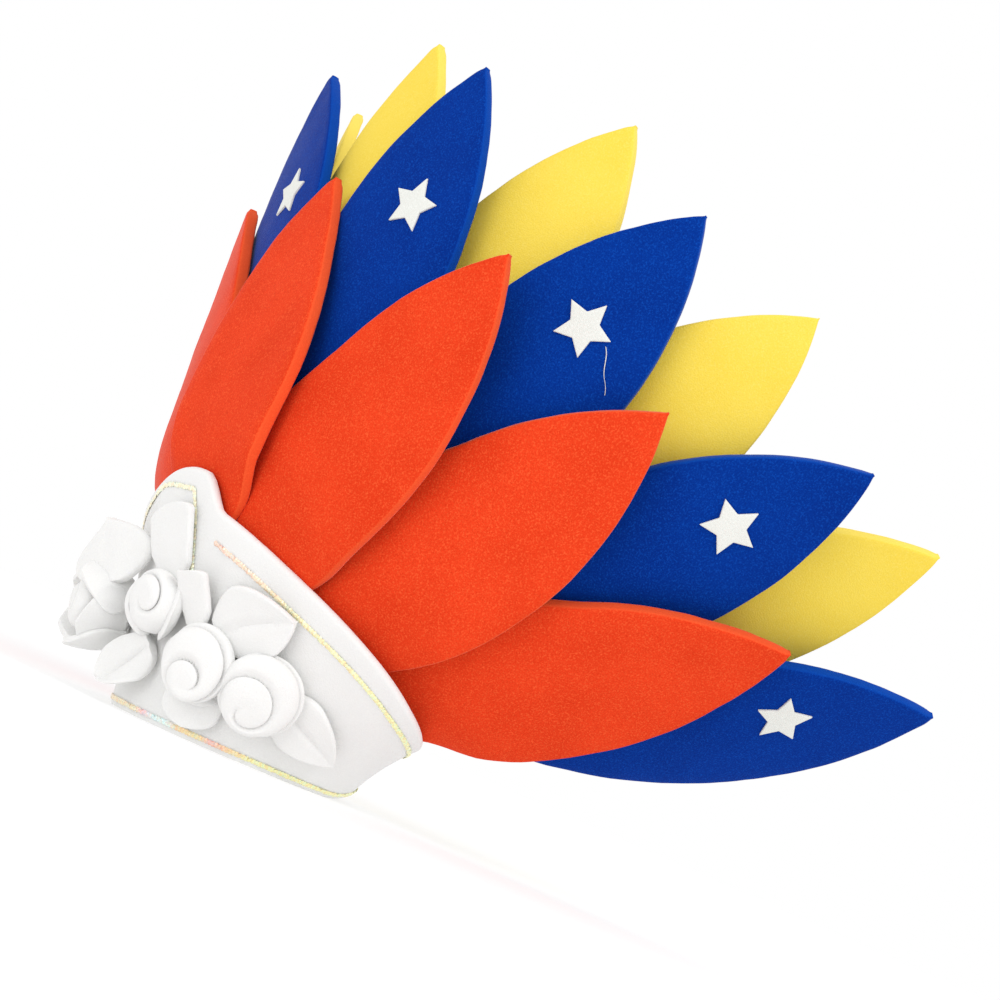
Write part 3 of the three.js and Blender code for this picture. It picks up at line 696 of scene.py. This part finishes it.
# No two are glued quite alike: swing round the fan's axis and lift outward in degrees, stretch of
# the reach in mm, lean in its own plane in degrees, and outward bow in mm.
QUIRKS = {
    ("red", -1): (5, -4.6, 3, -3.8, 7.5),
    ("red", 0): (-2.4, -1, -4, 0.3, -17),
    ("red", 1): (-0.3, 0, -1, 4.5, 6),
    ("red", 2): (1, -0.7, -1, -2.7, -7.5),
    ("red", 3): (5.2, -0.2, 3, -2.6, 12),
    ("blue", -0.5): (2.5, -1.9, 2, 0, 4.5),
    ("blue", 0.5): (-0.4, -1.5, 5, -2, 2),
    ("blue", 1.5): (0, -3.1, 4, -1.8, -1.5),
    ("blue", 2.5): (2.1, -2.6, -5, -1.2, 9.5),
    ("blue", 3.5): (-5.3, 4.7, 2, 4.1, -7),
    ("yellow", 0): (0.5, 1, 2, 0, 0),
    ("yellow", 1): (2.1, -0.4, 3, -2.4, -8.5),
    ("yellow", 2): (0.3, -1.5, -4, -1.4, -1),
    ("yellow", 3): (-0.4, 0.2, 0, -0.4, -0.5),
}
SHINGLE, SHINGLE_RISE, OVERLAP_FROM, TUCK = 0.11, 0.0045, 0.050, 0.016
BELLY, BELLY_TO = 0.008, 0.220
# A red feather's hidden edge runs fuller than the leaf near its root, and every tip is nipped.
FULLER, FULLER_FADES = 0.014, (0.06, 0.15)
NIPPED_BY, NIPPED_OVER = 0.42, 0.005

fan_to_head = np.array(
    [
        [0, 1, 0],
        [-math.cos(FAN_LEAN), 0, math.sin(FAN_LEAN)],
        [math.sin(FAN_LEAN), 0, math.cos(FAN_LEAN)],
    ]
)
fan_centre = np.array([0, -FAN_FORWARD, FAN_HEIGHT])


class FeatherSheet:
    """The middle surface of one feather, and points on and off it."""

    def __init__(self, row, place):
        _, flare, reach, self.out = ROWS[row]
        swing, lift, stretch, lean, bow = QUIRKS.get((row, place)) or QUIRKS[(row, -place)]
        side = np.sign(place) or 1
        turn = place * RING_STEP
        aim = place * AIM_STEP + side * math.radians(swing)
        lean = side * math.radians(lean)
        self.red, self.middle_red = row == "red", row == "red" and place == 0
        self.side, self.bow = np.sign(place), bow / 1000
        self.length = reach + stretch / 1000
        self.tip = math.radians(flare + lift)
        outward, axis = np.array([math.cos(aim), math.sin(aim), 0]), np.array([0, 0, 1.0])
        straight = axis * math.cos(self.tip) + outward * math.sin(self.tip)
        level = np.array([-math.sin(aim), math.cos(aim), 0])
        self.face = outward * math.cos(self.tip) - axis * math.sin(self.tip)
        self.along = straight * math.cos(lean) + level * math.sin(lean)
        self.across = level * math.cos(lean) - straight * math.sin(lean)
        self.foot = np.array(
            [RING_FRONT * math.cos(turn), RING_SIDE * math.sin(turn), -RING_DIP * math.cos(turn)]
        )

    def at(self, s, w, h):
        """The point s up from the ring, w across and h out of the sheet, from the rim's centre."""
        s, w, h = np.broadcast_arrays(*(np.asarray(v, float) for v in (s, w, h)))
        up = np.maximum(0, s)
        share = up / self.length
        overlap = ease(up, 0, OVERLAP_FROM)
        ring_radius = (RING_FRONT + RING_SIDE) / 2
        curvature = math.cos(self.tip) / (ring_radius + up * math.sin(self.tip))
        cup = 1 - 0.5 * share
        middle = self.out + self.bow * (up / 0.3) ** 2
        if self.red:
            middle = middle + SHINGLE_RISE * overlap
            cup = 1 - overlap if self.middle_red else 1 - 0.4 * share
            fade = 1 - 0.6 * ease(up, 0.15, self.length)
            middle = middle + self.side * SHINGLE * overlap * fade * w
        middle = middle - cup * curvature * w * w / 2 - ROOT_SLOPE * np.maximum(0, -s)
        middle = middle - ROOT_DRAWN_IN * (1 - ease(up, 0, ROOT_FREE))
        place = (
            self.foot
            + s[..., None] * self.along
            + w[..., None] * self.across
            + (middle + h)[..., None] * self.face
        )
        return place @ fan_to_head.T + fan_centre

    def half(self, s):
        """Half width of the leaf at a height above the ring."""
        radius = (WIDEST_FROM_TIP**2 + HALF_WIDTH**2) / (2 * HALF_WIDTH)
        past = self.length - s - WIDEST_FROM_TIP
        arc = math.sqrt(max(0, radius**2 - past**2)) - (radius - HALF_WIDTH)
        return max(arc, ROOT_HALF if past > 0 else 0.0008)


def feather_edges(row, place, s):
    """Both edges at a height. A red feather's hidden edge stops just under its neighbour."""
    sheet = FeatherSheet(row, place)
    half = sheet.half(s)
    if row == "red" and place == 0:
        belly = BELLY * math.sin(math.pi * min(1, max(0, s) / BELLY_TO))
        return belly - half, belly + half
    if row != "red":
        return -half, half
    side = int(np.sign(place))
    over = FeatherSheet(row, place - side)
    cover = (over.at(s, side * over.half(s), 0) - fan_centre) @ fan_to_head
    under = float((cover - sheet.foot) @ sheet.across)
    tuck = -0.0002 + TUCK * float(ease(s, 0, 1.2 * OVERLAP_FROM))
    fuller = FULLER * (1 - float(ease(s, *FULLER_FADES)))
    hidden = max(side * under - tuck, -half - fuller)
    return (hidden, half) if side > 0 else (-half, -hidden)


def cut_feather(row, place):
    """Sections of one feather from its pressed root to its tip."""
    sheet = FeatherSheet(row, place)
    sections = []
    for t in 1 - (1 - np.linspace(0, 1, 64)) ** 1.5:
        s = -ROOT_LENGTH + t * (sheet.length + ROOT_LENGTH)
        left, right = feather_edges(row, place, s)
        pressed = ROOT_PRESSED + (1 - ROOT_PRESSED) * float(ease(s, 0, ROOT_FULL))
        nipped = 1 - NIPPED_BY * (1 - min(1, (sheet.length - s) / NIPPED_OVER))
        outline = sheet_outline((right - left) / 2, SHEET * pressed * nipped, SHEET_EDGE)
        sections.append(sheet.at(s, (left + right) / 2 + outline[:, 0], outline[:, 1]))
    return np.stack(sections)


def feather_name(row, place):
    """The name of the frame's node, counted from the middle outward."""
    if place == 0:
        return f"{row}_middle"
    return f"{row}_{'left' if place > 0 else 'right'}_{math.ceil(abs(place))}"


# The foam's own colour, its pores, and its pale cell walls, whose colour is also used for the
# painted light on the cut sides.
FOAM_COLOURS = {
    "red": ((0.77, 0.052, 0.013), (0.60, 0.030, 0.006), (0.88, 0.12, 0.035)),
    "blue": ((0.001, 0.032, 0.27), (0.001, 0.019, 0.19), (0.004, 0.07, 0.42)),
    "yellow": ((0.87, 0.66, 0.09), (0.84, 0.61, 0.06), (0.90, 0.71, 0.14)),
}
sheet_foams = {row: foam_rubber(row + "_foam", *tones) for row, tones in FOAM_COLOURS.items()}
feather_seed = 30
for row, (places, *_) in ROWS.items():
    for place in places:
        feather_seed += 1
        node = feather_name(row, place)
        feather = foam_shape(
            node + "_cut",
            cut_feather(row, place),
            wobble=0.0006,
            seed=feather_seed,
            # The cut sides are painted paler, as painted light from the lamp.
            painted_lit_sides=PAINTED_LIT_SIDES,
        )
        feather.data.materials.append(sheet_foams[row])
        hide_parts(node)
        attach(feather, "root")


# ---------------------------------------------------------------- the stars
# A white five-pointed star, punched from thin sheet, is glued on the face of each blue feather.
# Below one of them a thread of dried glue has stayed on the foam.

STAR_CENTRE, STAR_OUTER, STAR_INNER, STAR_SHEET = 0.272, 0.0223, 0.0112, 0.0016
STAR_GLUE = 0.0003

# The glue thread: the place of its feather, its half thickness, how far it wavers, and how far it
# drops along the sheet and goes across it.
GLUE_THREAD_UNDER, THREAD_HALF, THREAD_WAVER = 1.5, 0.00045, 0.0009
THREAD_DROP, THREAD_ACROSS = 0.024, 0.025

# A star's rings of points, as shares of its outline and of its thickness, from middle to middle.
STAR_FACE, STAR_SIDE = ((0, 1), (0.3, 1), (0.6, 1), (0.9, 1)), ((0.98, 0.93), (1, 0.75), (1, 0))
STAR_BACK = ((0.5, 0), (0, 0))

# Place of its feather, how far it sits off the middle line in mm, and its turn in degrees.
STARS = [
    (-3.5, 5, 4),
    (-2.5, 2, 9),
    (-1.5, -3, -3),
    (-0.5, 9, 5),
    (0.5, 6.4, 1.4),
    (1.5, 0, 0),
    (2.5, -2.3, -6.9),
    (3.5, -7.8, -5.4),
]


def star_outline():
    """Corner points of the star with four steps along each side, its tips slightly rounded."""
    angles = np.radians(np.arange(11) * 36)
    radii = np.where(np.arange(11) % 2 == 0, STAR_OUTER, STAR_INNER)
    corners = np.stack([radii * np.cos(angles), radii * np.sin(angles)], 1)
    steps = np.array([0.02, 0.25, 0.5, 0.75, 0.98])[:, None]
    return np.concatenate([a + (b - a) * steps for a, b in zip(corners[:-1], corners[1:])])


def punched_star(place, across, turn):
    """Rings of points from the middle of its face, over its edge, to the middle underneath."""
    sheet = FeatherSheet("blue", place)
    c, s = math.cos(math.radians(turn)), math.sin(math.radians(turn))
    outline = star_outline() @ np.array([[c, s], [-s, c]])
    low = SHEET / 2 + STAR_GLUE
    rings = []
    for share, h in STAR_FACE + STAR_SIDE + STAR_BACK:
        up, aside = (outline * share).T
        rings.append(sheet.at(STAR_CENTRE + up, across / 1000 + aside, low + h * STAR_SHEET))
    return np.stack(rings)


def glue_thread(place):
    """A thin wavering thread that runs down the feather's face from under its star."""
    sheet = FeatherSheet("blue", place)
    drop = np.linspace(0, 1, 40)[:, None]
    angle = np.radians(np.arange(8) * 45)[None, :]
    thick = THREAD_HALF * (1 - 0.5 * drop)
    waver = THREAD_WAVER * np.sin(9 * drop)
    height = SHEET / 2 + STAR_GLUE + 0.0006 * np.sin(math.pi * drop)
    return sheet.at(
        STAR_CENTRE + 0.002 - THREAD_DROP * drop + waver,
        0.021 + THREAD_ACROSS * drop + thick * np.cos(angle),
        height + thick * np.sin(angle),
    )


star_sheet = foam_rubber("star_sheet", (0.76, 0.77, 0.73), (0.68, 0.69, 0.65), (0.82, 0.83, 0.80))
for place, across, turn in STARS:
    node = feather_name("star", place)
    threads = [glue_thread(place)] if place == GLUE_THREAD_UNDER else []
    star = foam_shape(node + "_punched", punched_star(place, across, turn), *threads, wobble=0.0001)
    star.data.materials.append(star_sheet)
    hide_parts(node)
    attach(star, "root")


# ---------------------------------------------------------------- the studio
# A white lit table under a plain white sky, a soft light from the wearer's left and a weaker one
# from the front. The camera looks at the wearer's left front, with its head tilted.

FLOOR_HALF = 14
LIT_AT = (0, 0, 0.25)
CAMERA_FROM_RIM = (1.3716, -0.9553, 0.065)
CAMERA_RIGHT, CAMERA_UP = (0.6089, 0.6862, 0.3980), (-0.1644, -0.3817, 0.9096)
FOCAL_LENGTH, SENSOR_WIDTH, CLIP_START = 76.47, 36, 0.05

corners = ((-1, -1), (1, -1), (1, 1), (-1, 1))
floor_corners = [(x * FLOOR_HALF, y * FLOOR_HALF, 0) for x, y in corners]
floor_mesh = bpy.data.meshes.new("floor")
floor_mesh.from_pydata(floor_corners, [], [(0, 1, 2, 3)])
floor = bpy.data.objects.new("floor", floor_mesh)
bpy.context.scene.collection.objects.link(floor)
floor_paint = bpy.data.materials.new("floor_paint")
floor_paint.use_nodes = True
paint = floor_paint.node_tree.nodes["Principled BSDF"].inputs
paint["Base Color"].default_value = (0.40, 0.40, 0.40, 1)
paint["Emission Color"].default_value = (1, 1, 1, 1)
paint["Emission Strength"].default_value = 0.62
paint["Roughness"].default_value = 1.0
paint["Specular IOR Level"].default_value = 0.0
floor_mesh.materials.append(floor_paint)

sky = bpy.data.worlds.new("studio")
sky.use_nodes = True
sky.node_tree.nodes["Background"].inputs["Color"].default_value = (1, 1, 1, 1)
sky.node_tree.nodes["Background"].inputs["Strength"].default_value = 1.0
bpy.context.scene.world = sky
bpy.context.scene.view_settings.view_transform = "Standard"


def soft_light(name, place, size, power):
    """A square softbox that faces the headdress."""
    lamp = bpy.data.lights.new(name, "AREA")
    lamp.size, lamp.energy = size, power
    light = bpy.data.objects.new(name, lamp)
    light.location = place
    light.rotation_euler = (Vector(LIT_AT) - Vector(place)).to_track_quat("-Z", "Y").to_euler()
    bpy.context.scene.collection.objects.link(light)


soft_light("key_softbox", (2.2, -0.2, 1.9), 1.0, 16)
soft_light("fill_softbox", (0.9, -2.2, 0.6), 1.2, 8)

lens = bpy.data.cameras.new("camera")
lens.lens, lens.sensor_width, lens.clip_start = FOCAL_LENGTH, SENSOR_WIDTH, CLIP_START
camera = bpy.data.objects.new("camera", lens)
right = Vector(CAMERA_RIGHT).normalized()
back = right.cross(Vector(CAMERA_UP)).normalized()
upward = back.cross(right)
camera.matrix_world = Matrix.Translation(Vector(CAMERA_FROM_RIM) + Vector(rim_centre)) @ Matrix(
    (right, upward, back)
).transposed().to_4x4()
bpy.context.scene.collection.objects.link(camera)
bpy.context.scene.camera = camera
